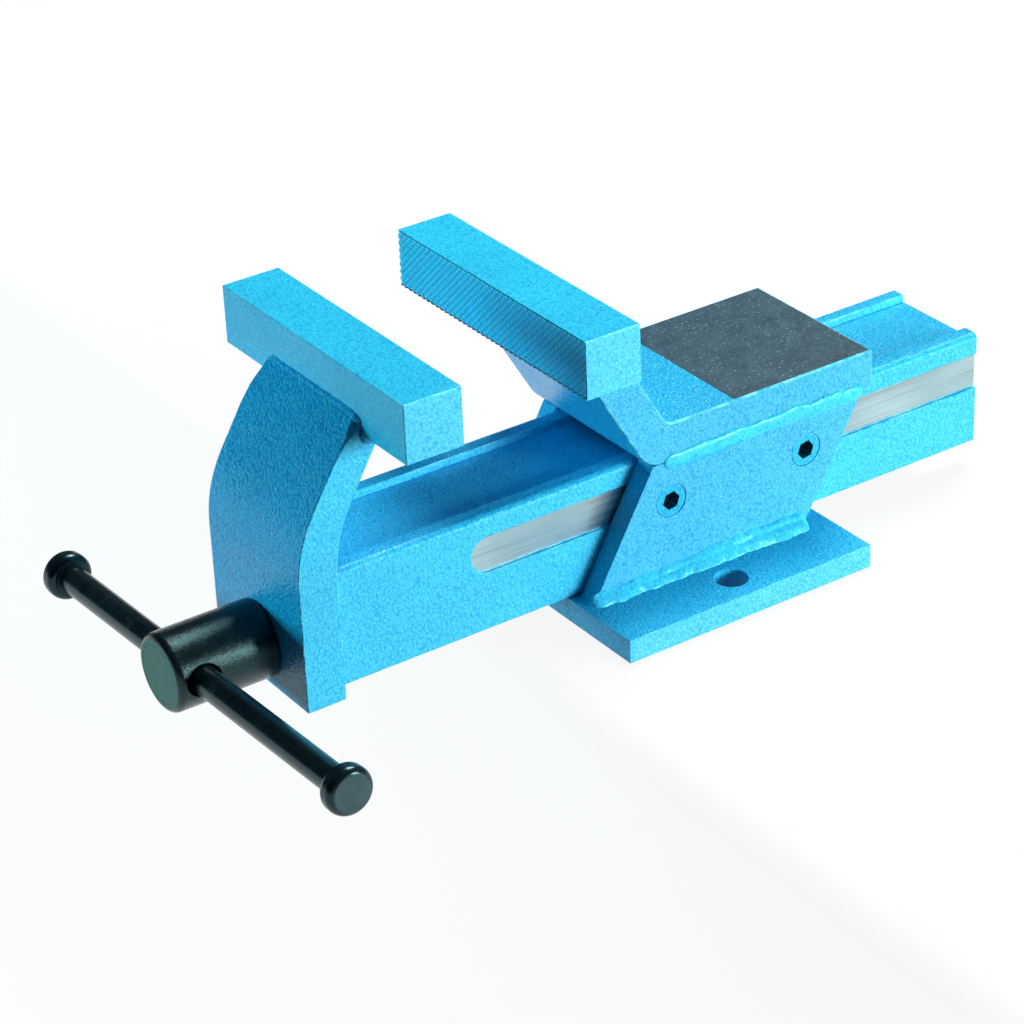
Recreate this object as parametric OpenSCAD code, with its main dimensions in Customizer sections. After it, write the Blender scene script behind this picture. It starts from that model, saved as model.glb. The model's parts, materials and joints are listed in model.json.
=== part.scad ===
// Parallel bench vise, welded from steel plate, with toothed jaws and a hollow slide.
// X runs from the handle to the rear, Y to the left and Z up, in millimetres.
// The origin is the centre of the base plate's underside.

/* [Jaws] */
// Width of both jaws
jaw_w = 125; // [100:1:160]
// Height of a jaw block
jaw_h = 24; // [20:0.5:30]
// Depth of a jaw block, from its plain back to the points of its teeth
jaw_d = 24.5; // [20:0.5:30]
// Height of the jaw tops above the bench
jaw_top = 139; // [132:0.5:160]
// Opening between the two rows of teeth, as drawn
jaw_opening = 54; // [10:1:120]
// Distance from the base plate's front edge to the fixed jaw's teeth
jaw_overhang = 13; // [8:0.5:25]
// Distance between neighbouring teeth along a jaw
tooth_pitch = 3.1; // [2.6:0.1:6]
// Depth of the teeth
tooth_depth = 1; // [0.4:0.1:1.6]

/* [Base plate] */
// Length of the base plate
base_l = 118; // [110:1:150]
// Width of the base plate
base_w = 134; // [120:1:180]
// Thickness of the base plate
base_t = 10; // [8:0.5:16]
// Diameter of the two bench bolt holes
bench_hole_d = 13.5; // [8:0.5:18]
// Distance between the bench bolt holes, across the vise
bench_hole_spacing = 107; // [100:1:112]

/* [Slide] */
// Width of the slide
slide_w = 54; // [46:0.5:60]
// Height of the slide over its rails
slide_h = 49.4; // [46:0.2:56]
// Length of the slide behind the front arm
slide_l = 312; // [280:1:340]
// Thickness of a side bar
bar_t = 7.5; // [6:0.5:9]
// Rounding of a side bar's outer top edge
bar_r = 2.5; // [1:0.5:3.5]
// Height of the rails above the plate between them
rail_h = 3.2; // [1:0.2:6]
// Thickness of the plate between the bars
plate_t = 8; // [5:0.5:10]
// Width of the milled track in each bar
track_w = 15.2; // [12:0.2:18]
// Depth of the milled track
track_depth = 1.2; // [0.8:0.1:2.5]
// Distance from the arm's back to the round end of the track
track_setback = 61.5; // [40:0.5:70]
// Height of the track's middle above the slide's underside
track_rise = 32.4; // [28:0.2:36]

/* [Cheeks] */
// Thickness of a cheek
cheek_t = 9.4; // [8:0.2:12]
// Length of a cheek along the slide
cheek_l = 103.5; // [96:0.5:106]
// Distance from the base plate's front edge to a cheek's foot
cheek_setback = 5.5; // [4:0.5:10]
// Backward lean of the cheeks
cheek_lean = 30; // [25:1:34]
// Distance between the two guide screws of a cheek
guide_screw_spacing = 66.4; // [50:0.2:70]
// Width across flats of a guide screw's socket
guide_socket_af = 7; // [5:0.5:8]
// Depth of a guide screw's socket
guide_socket_depth = 6; // [3:0.5:7]
// Turn of a guide screw's socket
guide_socket_turn = 10; // [0:1:60]
// Bevel of a guide screw's outer edge
guide_bevel = 0.6; // [0.2:0.1:1.5]

/* [Anvil and neck] */
// Thickness of the anvil
anvil_t = 16.2; // [12:0.2:22]
// Distance that the anvil stands past the top of the cheeks at the rear
anvil_overhang = 5; // [0:0.5:15]
// Thickness of the fixed jaw's neck
neck_t = 16.5; // [14:0.5:20]
// Forward lean of the neck
neck_lean = 30; // [26:1:34]
// Depth of the neck's seat under the fixed jaw
neck_seat = 10.9; // [8:0.2:14]
// Radius of the hollow between the neck and the anvil
neck_hollow_r = 7; // [4:0.5:12]
// Radius of the bend under the neck
neck_bend_r = 13; // [8:0.5:20]

/* [Front arm] */
// Width of the front arm
arm_w = 65; // [60:1:80]
// Thickness of the front arm along the slide
arm_t = 16.8; // [12:0.1:20]
// Distance from the moving jaw's front to the arm's front face
arm_reach = 30.5; // [26:0.5:36]
// Backward lean of the arm's upper part
arm_lean = 31; // [28:1:34]
// Radius of the arm's bends
arm_bend_r = 55; // [20:1:60]
// Depth of the arm's seat under the moving jaw
arm_seat = 9.5; // [6:0.5:12]
// Height of the arm's lap on the moving jaw's front
arm_lap = 7; // [3:0.5:9]
// Height of the arm's foot above the bench
arm_foot_rise = 7.9; // [4:0.1:9]

/* [Spindle] */
// Outside diameter of the spindle's thread
spindle_d = 22; // [18:0.5:23]
// Length of the spindle behind the front arm
spindle_l = 290; // [260:1:300]
// Height of the spindle's axis above the slide's underside
spindle_rise = 15.6; // [14.5:0.1:18]
// Diameter of the spindle's journal in the front arm
journal_d = 24; // [23.5:0.5:26]
// Diameter of the spindle's tenon inside the head
tenon_d = 20; // [17:0.5:22]
// Diameter of the spindle's head
head_d = 31.5; // [28:0.5:34]
// Length of the spindle's head
head_l = 43; // [34:0.5:50]
// Rounding of the head's front edge
head_r = 2.8; // [1:0.1:4]
// Diameter of the retaining collar and its washer
collar_d = 31; // [29:0.5:33]
// Length of the retaining collar
collar_l = 10; // [8:0.5:14]
// Diameter of the pin through the retaining collar
collar_pin_d = 5; // [3:0.5:6]
// Thickness of the washer behind the front arm
washer_t = 2; // [1:0.5:4]
// Chamfer at the spindle's rear end
spindle_chamfer = 2; // [1:0.5:4]

/* [Nut] */
// Length of the spindle nut
nut_l = 44; // [40:1:60]
// Height of the spindle nut
nut_h = 32; // [29:0.5:36]
// Diameter of the screws that hold the nut
nut_screw_d = 6; // [5:0.5:6]
// Length of those screws inside the nut
nut_screw_grip = 10; // [6:0.5:14]
// Diameter of their heads
nut_screw_head_d = 10; // [9:0.5:11]
// Height of their heads
nut_screw_head_h = 4; // [3:0.5:5]
// Width across flats of their sockets
nut_socket_af = 4; // [3:0.5:5]
// Depth of their sockets
nut_socket_depth = 2; // [1:0.5:2.5]
// Distance between those screws along the spindle
nut_screw_spacing_x = 28; // [20:1:34]
// Distance between those screws across the spindle
nut_screw_spacing_y = 29; // [28.5:0.5:31]

/* [Handle] */
// Diameter of the handle bar
handle_d = 11.3; // [9:0.1:14]
// Length of the handle over its knobs
handle_l = 214; // [160:1:260]
// Distance that the handle is pushed to the right, as drawn
handle_shift = 10.3; // [0:0.1:40]
// Turn of the handle from level, as drawn, with the right end up
handle_turn = 2.65; // [0:0.05:10]
// Width of the bevel round the mouths of the handle's hole
handle_mouth = 1.2; // [0.5:0.1:1.6]
// Distance from the head's front to the handle's axis
handle_setback = 10.8; // [10:0.1:16]
// Largest diameter of a knob
knob_d = 19.2; // [18:0.1:26]
// Length of a knob
knob_l = 9; // [7:0.5:14]
// Diameter of a knob's flat end
knob_face_d = 13.6; // [10:0.1:17]
// Diameter of a knob's short collar round the bar
knob_collar_d = 14; // [12.5:0.1:17]
// Length of that collar
knob_collar_l = 0.8; // [0.4:0.1:2]
// Distance from a knob's inner face to its rim
knob_belly = 3.8; // [2.5:0.1:4.5]
// Length of a knob's rim
knob_rim = 2; // [0.5:0.1:2.4]
// Depth of the bar's seat in a knob
knob_socket = 6; // [4:0.5:6.5]

/* [Welds] */
// Leg of the fillet welds along the base plate
foot_weld = 7; // [4:0.5:10]
// Distance that those welds run past the front of the cheeks
foot_weld_lead = 2; // [0:0.5:3.5]
// Width of the beads between cheeks and anvil
seam_weld_w = 7; // [4:0.5:9]
// Height of the beads between cheeks and anvil
seam_weld_h = 2.4; // [1:0.2:4]
// Height of the bead on the moving jaw's front
jaw_weld_h = 3; // [2:0.5:6]
// Leg of the bead behind the fixed jaw
neck_weld = 5; // [2:0.5:7]

/* [Clearances] */
// Gap between the slide and the base plate, and between its rails and the anvil
slide_gap = 0.4; // [0.3:0.1:0.8]
// Gap between the slide and each cheek
side_gap = 0.3; // [0.3:0.1:0.6]
// Gap between a guide screw and its track
screw_gap = 0.4; // [0.3:0.1:0.6]
// Radial running clearance of the spindle
running_gap = 0.05; // [0.02:0.01:0.1]
// Gap at the spindle's thrust faces, and round its washer
thrust_gap = 0.2; // [0.2:0.1:0.4]
// Radial gap of the handle bar in the head
handle_gap = 0.6; // [0.3:0.1:0.8]
// Gap between the nut and the slide's bars
nut_gap = 0.5; // [0.3:0.1:0.8]
// Radial gap of a nut screw's shank and head in the base plate
nut_screw_gap = 0.5; // [0.3:0.1:0.8]
// Distance that the nut screws' heads lie below the base plate's underside
nut_screw_sink = 0.5; // [0.3:0.1:1]

/* [Hidden] */

enamel = [0.13, 0.62, 0.88];
bare_steel = [0.72, 0.73, 0.74];
black_steel = [0.09, 0.10, 0.11];
bronze = [0.66, 0.50, 0.26];

$fn = 64;
arc_steps = 12;
overcut = 1;
weld_fullness = 1.4;

// Heights
slide_bottom = base_t + slide_gap;
slide_top = slide_bottom + slide_h;
anvil_bottom = slide_top + slide_gap;
anvil_top = anvil_bottom + anvil_t;
jaw_bottom = jaw_top - jaw_h;
track_z = slide_bottom + track_rise;
axis_z = slide_bottom + spindle_rise;

// Places along the slide
base_front_x = -base_l / 2;
fixed_teeth_x = base_front_x - jaw_overhang;
fixed_back_x = fixed_teeth_x + jaw_d;
moving_teeth_x = fixed_teeth_x - jaw_opening;
moving_front_x = moving_teeth_x - jaw_d;
arm_front_x = moving_front_x - arm_reach;
arm_back_x = arm_front_x + arm_t;
cheek_foot_x = base_front_x + cheek_setback;
cheek_rise = anvil_bottom - base_t;
cheek_shear = cheek_rise * tan(cheek_lean);
anvil_rear_x = cheek_foot_x + cheek_shear + cheek_l + anvil_overhang;
guide_x = cheek_foot_x + cheek_l / 2 + (track_z - base_t) * tan(cheek_lean);

// Places across the slide
cheek_inner_y = slide_w / 2 + side_gap;
cheek_outer_y = cheek_inner_y + cheek_t;
guide_tip_y = slide_w / 2 - track_depth + screw_gap;
guide_screw_d = track_w - 2 * screw_gap;
plate_w = slide_w - 2 * bar_t;
nut_w = plate_w - 2 * nut_gap;

// Places along the spindle
head_back_x = arm_front_x - thrust_gap;
head_front_x = head_back_x - head_l;
collar_x = arm_back_x + washer_t + thrust_gap;
handle_x = head_front_x + handle_setback;

// Point list for a corner at b, rounded with radius r, between the points a and c
function unit(v) = v / norm(v);
function rounded(a, b, c, r) =
    let (
        u = unit(a - b),
        v = unit(c - b),
        half = acos(u * v) / 2,
        centre = b + unit(u + v) * r / sin(half),
        first = b + u * r / tan(half) - centre,
        last = b + v * r / tan(half) - centre,
        start = atan2(first[1], first[0]),
        turn = atan2(last[1], last[0]) - start,
        sweep = turn > 180 ? turn - 360 : turn < -180 ? turn + 360 : turn
    )
    [for (i = [0 : arc_steps]) let (t = start + sweep * i / arc_steps) centre + r * [cos(t), sin(t)]];

// Full round edge of a weld from (0, b) to (a, 0)
function weld_curve(a, b) =
    [for (i = [0 : arc_steps]) let (t = 90 * i / arc_steps)
        [a * pow(sin(t), 2 / weld_fullness), b * pow(cos(t), 2 / weld_fullness)]];

// Outline in X and Z, drawn out across the vise
module across(w) {
    rotate([90, 0, 0]) linear_extrude(w, center = true) children();
}

// Outline in Y and Z, drawn out along the vise from x
module along(x, l) {
    translate([x, 0, 0]) rotate([90, 0, 90]) linear_extrude(l) children();
}

// Cylinder along the vise from x, on the spindle's axis
module turned(x, l, d) {
    translate([x, 0, axis_z]) rotate([0, 90, 0]) cylinder(d = d, h = l);
}

module on_left() {
    mirror([0, 1, 0]) children();
}

// Places the handle's axis, with Z of the children towards the left
module at_handle(shift) {
    translate([handle_x, 0, axis_z]) rotate([-90 - handle_turn, 0, 0]) translate([0, 0, shift]) children();
}

// Jaw block with its back at x = 0 and rows of pointed teeth at x = jaw_d.
// Points and pits take turns on a grid of half the tooth pitch.
module toothed_block() {
    cols = 2 * round(jaw_w / tooth_pitch);
    rows = 2 * round(jaw_h / tooth_pitch);
    backs = (cols + 1) * (rows + 1);
    function at(k, m) = m * (cols + 1) + k;
    function cell(k, m) =
        let (a = at(k, m), b = at(k + 1, m), c = at(k + 1, m + 1), d = at(k, m + 1))
        (k + m) % 2 == 0 ? [[a, d, b], [b, d, c]] : [[a, c, b], [a, d, c]];
    // Flat side between two back corners and a toothed edge, which starts and ends with a point
    function side(first, edge, last) =
        let (end = len(edge) - 1)
        concat(
            [[first, edge[0], edge[1]]],
            [for (i = [1 : 2 : end - 3]) each [[edge[i], edge[i + 1], edge[i + 2]], [first, edge[i], edge[i + 2]]]],
            [[edge[end - 1], edge[end], last], [first, edge[end - 1], last]]
        );
    points = concat(
        [for (m = [0 : rows], k = [0 : cols])
            [jaw_d - tooth_depth * ((k + m) % 2), jaw_w * (k / cols - 1 / 2), jaw_h * m / rows]],
        [[0, -jaw_w / 2, 0], [0, jaw_w / 2, 0], [0, jaw_w / 2, jaw_h], [0, -jaw_w / 2, jaw_h]]
    );
    teeth = [for (m = [0 : rows - 1], k = [0 : cols - 1], face = cell(k, m)) face];
    sides = concat(
        side(backs, [for (k = [0 : cols]) at(k, 0)], backs + 1),
        side(backs + 2, [for (k = [cols : -1 : 0]) at(k, rows)], backs + 3),
        side(backs + 1, [for (m = [0 : rows]) at(cols, m)], backs + 2),
        side(backs + 3, [for (m = [rows : -1 : 0]) at(0, m)], backs),
        [[backs, backs + 1, backs + 2, backs + 3]]
    );
    polyhedron(points, concat(teeth, sides));
}

// Fixed body

module nut_screw_places() {
    for (sx = [-1, 1], sy = [-1, 1])
        translate([sx * nut_screw_spacing_x / 2, sy * nut_screw_spacing_y / 2, 0]) children();
}

module base_plate() {
    head_pocket = nut_screw_sink + nut_screw_head_h;
    color(enamel) difference() {
        translate([0, 0, base_t / 2]) cube([base_l, base_w, base_t], center = true);
        for (s = [-1, 1])
            translate([0, s * bench_hole_spacing / 2, -overcut])
                cylinder(d = bench_hole_d, h = base_t + 2 * overcut);
        nut_screw_places() {
            translate([0, 0, -overcut]) cylinder(d = nut_screw_d + 2 * nut_screw_gap, h = base_t + 2 * overcut);
            translate([0, 0, -overcut])
                cylinder(d = nut_screw_head_d + 2 * nut_screw_gap, h = head_pocket + overcut);
        }
    }
}

module guide_screw_places() {
    for (s = [-1, 1])
        translate([guide_x + s * guide_screw_spacing / 2, 0, track_z]) rotate([90, 0, 0]) children();
}

module cheek() {
    color(enamel) difference() {
        translate([0, -cheek_inner_y - cheek_t / 2, 0]) across(cheek_t) polygon([
            [cheek_foot_x, base_t],
            [cheek_foot_x + cheek_l, base_t],
            [cheek_foot_x + cheek_l + cheek_shear, anvil_bottom],
            [cheek_foot_x + cheek_shear, anvil_bottom]
        ]);
        guide_screw_places() cylinder(d = guide_screw_d, h = cheek_outer_y + overcut);
    }
}

module right_cheek() {
    cheek();
}

module left_cheek() {
    on_left() cheek();
}

// Neck lines: x of the front and of the back at height z
function neck_front(z) = fixed_back_x - neck_seat + (jaw_bottom - z) * tan(neck_lean);
function neck_back(z) = neck_front(z) + neck_t / cos(neck_lean);
neck_lap_z = jaw_bottom + (neck_t / cos(neck_lean) - neck_seat) / tan(neck_lean);

module anvil_saddle() {
    seat = [neck_front(jaw_bottom), jaw_bottom];
    lap = [fixed_back_x, neck_lap_z];
    hollow = [neck_back(anvil_top), anvil_top];
    bend = [neck_front(anvil_bottom), anvil_bottom];
    rear_top = [anvil_rear_x, anvil_top];
    rear_bottom = [anvil_rear_x, anvil_bottom];
    color(enamel) across(2 * cheek_outer_y) polygon(concat(
        [seat, [fixed_back_x, jaw_bottom], lap],
        rounded(lap, hollow, rear_top, neck_hollow_r),
        [rear_top, rear_bottom],
        rounded(rear_bottom, bend, seat, neck_bend_r)
    ));
}

module fixed_jaw() {
    color(enamel) translate([fixed_back_x, 0, jaw_bottom]) mirror([1, 0, 0]) toothed_block();
}

module foot_weld_bead() {
    color(enamel) along(cheek_foot_x - foot_weld_lead, cheek_l + foot_weld_lead)
        translate([-cheek_outer_y, base_t]) mirror([1, 0])
            polygon(concat([[0, 0]], weld_curve(foot_weld, foot_weld)));
}

module right_foot_weld() {
    foot_weld_bead();
}

module left_foot_weld() {
    on_left() foot_weld_bead();
}

module saddle_weld_bead() {
    half = weld_curve(seam_weld_h, seam_weld_w / 2);
    start_x = neck_front(anvil_bottom) + neck_bend_r * tan(45 - neck_lean / 2);
    color(enamel) along(start_x, cheek_foot_x + cheek_shear + cheek_l - start_x)
        translate([-cheek_outer_y, anvil_bottom]) mirror([1, 0])
            polygon(concat(half, [for (i = [arc_steps - 1 : -1 : 0]) [half[i][0], -half[i][1]]]));
}

module right_saddle_weld() {
    saddle_weld_bead();
}

module left_saddle_weld() {
    on_left() saddle_weld_bead();
}

module fixed_jaw_weld() {
    color(enamel) across(2 * cheek_outer_y) polygon([
        [fixed_back_x, neck_lap_z],
        [fixed_back_x, neck_lap_z + neck_weld],
        [fixed_back_x + neck_weld * sin(neck_lean), neck_lap_z - neck_weld * cos(neck_lean)]
    ]);
}

module guide_screw_pair() {
    guide_screw_places() difference() {
        union() {
            translate([0, 0, guide_tip_y])
                cylinder(d = guide_screw_d, h = cheek_outer_y - guide_bevel - guide_tip_y);
            translate([0, 0, cheek_outer_y - guide_bevel])
                cylinder(d1 = guide_screw_d, d2 = guide_screw_d - 2 * guide_bevel, h = guide_bevel);
        }
        translate([0, 0, cheek_outer_y - guide_socket_depth]) rotate([0, 0, guide_socket_turn])
            cylinder(d = guide_socket_af / cos(30), h = guide_socket_depth + overcut, $fn = 6);
    }
}

module guide_screws() {
    color(bare_steel) {
        guide_screw_pair();
        on_left() guide_screw_pair();
    }
}

module spindle_nut() {
    color(bronze) difference() {
        translate([0, 0, base_t + nut_h / 2]) cube([nut_l, nut_w, nut_h], center = true);
        turned(-nut_l / 2 - overcut, nut_l + 2 * overcut, spindle_d + 2 * running_gap);
        nut_screw_places() cylinder(d = nut_screw_d, h = base_t + nut_screw_grip);
    }
}

module nut_screws() {
    color(bare_steel) nut_screw_places() difference() {
        union() {
            translate([0, 0, nut_screw_sink]) cylinder(d = nut_screw_head_d, h = nut_screw_head_h);
            translate([0, 0, nut_screw_sink])
                cylinder(d = nut_screw_d, h = base_t + nut_screw_grip - nut_screw_sink);
        }
        cylinder(d = nut_socket_af / cos(30), h = nut_screw_sink + nut_socket_depth, $fn = 6);
    }
}

// Moving jaw

// Height where the arm's upright and leaning parts would meet, and the ledge on top of the arm
arm_corner_z = jaw_bottom - (moving_front_x + arm_seat - arm_back_x) / tan(arm_lean);
arm_top_z = jaw_bottom + arm_lap;
arm_ledge = arm_reach - (arm_top_z - arm_corner_z) * tan(arm_lean);

module front_arm() {
    ledge = [moving_front_x - arm_ledge, arm_top_z];
    seat = [moving_front_x + arm_seat, jaw_bottom];
    front_corner = [arm_front_x, arm_corner_z];
    back_corner = [arm_back_x, arm_corner_z];
    foot_front = [arm_front_x, arm_foot_rise];
    foot_back = [arm_back_x, arm_foot_rise];
    color(enamel) difference() {
        across(arm_w) polygon(concat(
            [foot_front, foot_back],
            rounded(foot_back, back_corner, seat, arm_bend_r),
            [seat, [moving_front_x, jaw_bottom], [moving_front_x, arm_top_z], ledge],
            rounded(ledge, front_corner, foot_front, arm_bend_r)
        ));
        turned(arm_front_x - overcut, arm_t + 2 * overcut, journal_d + 2 * running_gap);
    }
}

module moving_jaw_block() {
    color(enamel) translate([moving_front_x, 0, jaw_bottom]) toothed_block();
}

module moving_jaw_weld() {
    color(enamel) translate([moving_front_x, 0, arm_top_z]) across(arm_w)
        mirror([1, 0]) polygon(concat([[0, 0]], weld_curve(arm_ledge, jaw_weld_h)));
}

module slide_bar() {
    round_end_x = arm_back_x + track_setback + track_w / 2;
    track_l = arm_back_x + slide_l - round_end_x;
    color(enamel) difference() {
        along(arm_back_x, slide_l) translate([-slide_w / 2, slide_bottom]) {
            square([bar_t, slide_h - bar_r]);
            translate([bar_r, 0]) square([bar_t - bar_r, slide_h]);
            translate([bar_r, slide_h - bar_r]) circle(bar_r);
        }
        translate([round_end_x, -slide_w / 2, track_z]) {
            rotate([90, 0, 0]) cylinder(d = track_w, h = 2 * track_depth, center = true);
            translate([0, -track_depth, -track_w / 2]) cube([track_l + overcut, 2 * track_depth, track_w]);
        }
    }
}

module right_slide_bar() {
    slide_bar();
}

module left_slide_bar() {
    on_left() slide_bar();
}

module slide_plate() {
    color(enamel) translate([arm_back_x, -plate_w / 2, slide_top - rail_h - plate_t])
        cube([slide_l, plate_w, plate_t]);
}

module thrust_washer() {
    color(bronze) difference() {
        turned(arm_back_x, washer_t, collar_d);
        turned(arm_back_x - overcut, washer_t + 2 * overcut, journal_d + 2 * thrust_gap);
    }
}

// Spindle

module handle_hole() {
    hole_d = handle_d + 2 * handle_gap;
    at_handle(-head_d) cylinder(d = hole_d, h = 2 * head_d);
    for (side = [0, 1])
        at_handle(0) mirror([0, 0, side]) translate([0, 0, head_d / 2 - 2 * handle_mouth])
            cylinder(d1 = hole_d, d2 = hole_d + 4 * handle_mouth, h = 4 * handle_mouth);
}

module collar_pin_place() {
    translate([collar_x + collar_l / 2, 0, axis_z]) rotate([-handle_turn, 0, 0]) children();
}

module spindle() {
    rear_x = arm_back_x + spindle_l;
    color(black_steel) difference() {
        union() {
            turned(head_front_x, head_l, tenon_d);
            turned(head_back_x, collar_x + collar_l - head_back_x, journal_d);
            turned(head_back_x, rear_x - spindle_chamfer - head_back_x, spindle_d);
            translate([rear_x - spindle_chamfer, 0, axis_z]) rotate([0, 90, 0])
                cylinder(d1 = spindle_d, d2 = spindle_d - 2 * spindle_chamfer, h = spindle_chamfer);
        }
        handle_hole();
        collar_pin_place() cylinder(d = collar_pin_d, h = collar_d, center = true);
    }
}

module spindle_head() {
    rim = [head_d / 2, 0];
    color(black_steel) difference() {
        translate([head_front_x, 0, axis_z]) rotate([0, 90, 0]) rotate_extrude() polygon(concat(
            [[tenon_d / 2, 0]],
            rounded([tenon_d / 2, 0], rim, [head_d / 2, head_l], head_r),
            [[head_d / 2, head_l], [tenon_d / 2, head_l]]
        ));
        handle_hole();
    }
}

module retaining_collar() {
    color(bare_steel) difference() {
        turned(collar_x, collar_l, collar_d);
        turned(collar_x - overcut, collar_l + 2 * overcut, journal_d);
        collar_pin_place() cylinder(d = collar_pin_d, h = 2 * collar_d, center = true);
    }
}

module collar_pin() {
    color(bare_steel) collar_pin_place() cylinder(d = collar_pin_d, h = collar_d - collar_pin_d / 2, center = true);
}

// Handle

knob_inner = handle_l / 2 - knob_l;

module handle_bar() {
    bar_l = 2 * (knob_inner + knob_socket);
    color(black_steel) at_handle(-handle_shift) cylinder(d = handle_d, h = bar_l, center = true);
}

// Knob on its own axis, with its inner face at z = 0
module knob() {
    collar_r = knob_collar_d / 2;
    face_r = knob_face_d / 2;
    belly_r = knob_d / 2;
    back = [for (i = [0 : arc_steps]) let (t = 90 * i / arc_steps)
        [collar_r + (belly_r - collar_r) * sin(t), knob_belly - (knob_belly - knob_collar_l) * cos(t)]];
    rim_end = knob_belly + knob_rim;
    front = [for (i = [0 : arc_steps]) let (t = 90 * i / arc_steps)
        [face_r + (belly_r - face_r) * cos(t), rim_end + (knob_l - rim_end) * sin(t)]];
    color(black_steel) rotate_extrude() polygon(concat(
        [[handle_d / 2, knob_socket], [handle_d / 2, 0], [collar_r, 0]],
        back, front,
        [[0, knob_l], [0, knob_socket]]
    ));
}

module left_knob() {
    at_handle(-handle_shift) translate([0, 0, knob_inner]) knob();
}

module right_knob() {
    at_handle(-handle_shift) mirror([0, 0, 1]) translate([0, 0, knob_inner]) knob();
}

base_plate();
left_cheek();
right_cheek();
anvil_saddle();
fixed_jaw();
left_foot_weld();
right_foot_weld();
left_saddle_weld();
right_saddle_weld();
fixed_jaw_weld();
guide_screws();
spindle_nut();
nut_screws();
front_arm();
moving_jaw_block();
moving_jaw_weld();
left_slide_bar();
right_slide_bar();
slide_plate();
thrust_washer();
spindle();
spindle_head();
retaining_collar();
collar_pin();
handle_bar();
left_knob();
right_knob();
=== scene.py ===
import json
import math

import bmesh
import bpy
from mathutils import Euler, Matrix, Vector, noise

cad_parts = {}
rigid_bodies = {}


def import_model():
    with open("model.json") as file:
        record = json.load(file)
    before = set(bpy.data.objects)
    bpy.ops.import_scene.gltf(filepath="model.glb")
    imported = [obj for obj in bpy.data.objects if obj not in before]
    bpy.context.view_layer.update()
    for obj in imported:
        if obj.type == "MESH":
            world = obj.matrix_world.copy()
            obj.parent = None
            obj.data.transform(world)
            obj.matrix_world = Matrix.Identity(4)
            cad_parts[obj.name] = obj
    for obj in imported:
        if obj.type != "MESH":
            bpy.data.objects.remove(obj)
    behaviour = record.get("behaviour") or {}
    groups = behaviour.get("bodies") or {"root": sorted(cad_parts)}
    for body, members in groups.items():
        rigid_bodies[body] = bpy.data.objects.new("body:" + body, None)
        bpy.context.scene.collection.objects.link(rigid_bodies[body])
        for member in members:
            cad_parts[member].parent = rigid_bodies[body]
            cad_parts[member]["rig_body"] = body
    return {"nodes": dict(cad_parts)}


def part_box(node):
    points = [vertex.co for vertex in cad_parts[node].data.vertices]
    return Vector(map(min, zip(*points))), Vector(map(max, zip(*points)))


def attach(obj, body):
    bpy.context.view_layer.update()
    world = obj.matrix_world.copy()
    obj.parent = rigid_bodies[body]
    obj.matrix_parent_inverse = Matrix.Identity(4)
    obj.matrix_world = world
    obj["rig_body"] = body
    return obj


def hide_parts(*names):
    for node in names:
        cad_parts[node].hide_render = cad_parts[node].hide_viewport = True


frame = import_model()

MM = 0.001
nodes = frame["nodes"]
scene = bpy.context.scene
scene.view_settings.view_transform = "Standard"
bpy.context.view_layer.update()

# Camera, fitted to the straight edges in the photo
CAMERA_AT = Vector((-0.7106, -0.9808, 0.7015))
CAMERA_RIGHT = Vector((0.82305, -0.56670, -0.03794))
CAMERA_UP = Vector((0.30615, 0.38640, 0.87004))
CAMERA_LENS = 122.1
CAMERA_SENSOR = 36.0
CAMERA_CLIP = (0.01, 50.0)

# Studio: a bench that ends behind the arm, so that the handle can turn, over a lower floor
BENCH_EDGE_X = -0.095
BENCH_HEIGHT = 0.22
BENCH_ROUNDING = 0.012
COVE_RADIUS = 0.12
FLOOR_REACH = 6.0
FLOOR_ARC_STEPS = 8
FLOOR_DIM = ((0.3, (0.13, 0.135, 0.14)), (0.7, (0.15, 0.155, 0.16)))
FLOOR_PALE = ((0.3, (0.88, 0.88, 0.88)), (0.7, (0.92, 0.92, 0.92)))
BENCH_GLOW = 0.90
FLOOR_GLOW = 0.945
ROOM_COLOUR = (0.45, 0.70, 1.0)
ROOM_HORIZON = 0.02
ROOM_ZENITH = 0.05
LIGHTS = {
    "side": {"towards": (0.52, -0.845, 0.13), "distance": 1.6, "size": (1.2, 0.38), "watts": 21,
             "mirrored": False, "colour": (1.0, 1.0, 1.0)},
    "strip": {"towards": (0.46, -0.87, 0.17), "distance": 1.6, "size": (0.36, 0.42), "watts": 16,
              "mirrored": True, "colour": (1.0, 1.0, 1.0)},
    "overhead": {"towards": (0.48, 0.26, 0.84), "distance": 1.6, "size": (0.60, 0.60), "watts": 28,
                 "mirrored": True, "colour": (1.0, 1.0, 1.0)},
    "fill": {"towards": (-0.61, 0.79, 0.03), "distance": 1.6, "size": (0.6, 0.4), "watts": 25,
             "mirrored": False, "colour": (0.48, 0.86, 0.94)},
    "panel": {"towards": (0.48, 0.73, 0.49), "distance": 2.0, "size": (1.6, 1.6), "watts": 0.6,
              "mirrored": True, "colour": (0.70, 0.95, 1.0)},
}
LIGHT_AIM = Vector((-0.03, 0.0, 0.06))

# Meshes: points that are one, faces that are one, edges that are sharp, and a hair's breadth
SAME_POINT = 0.001 * MM
SAME_FACE = math.radians(0.4)
SHARP_EDGE = math.radians(35)
HAIR = 0.01 * MM

# Least share of a face's normal along the axis that it looks to
LOOKS_SIDEWAYS = 0.9
LOOKS_UP = 0.98
ARM_SIDE_LOOKS = 0.6
TOOTH_LOOKS = 0.2

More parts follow.
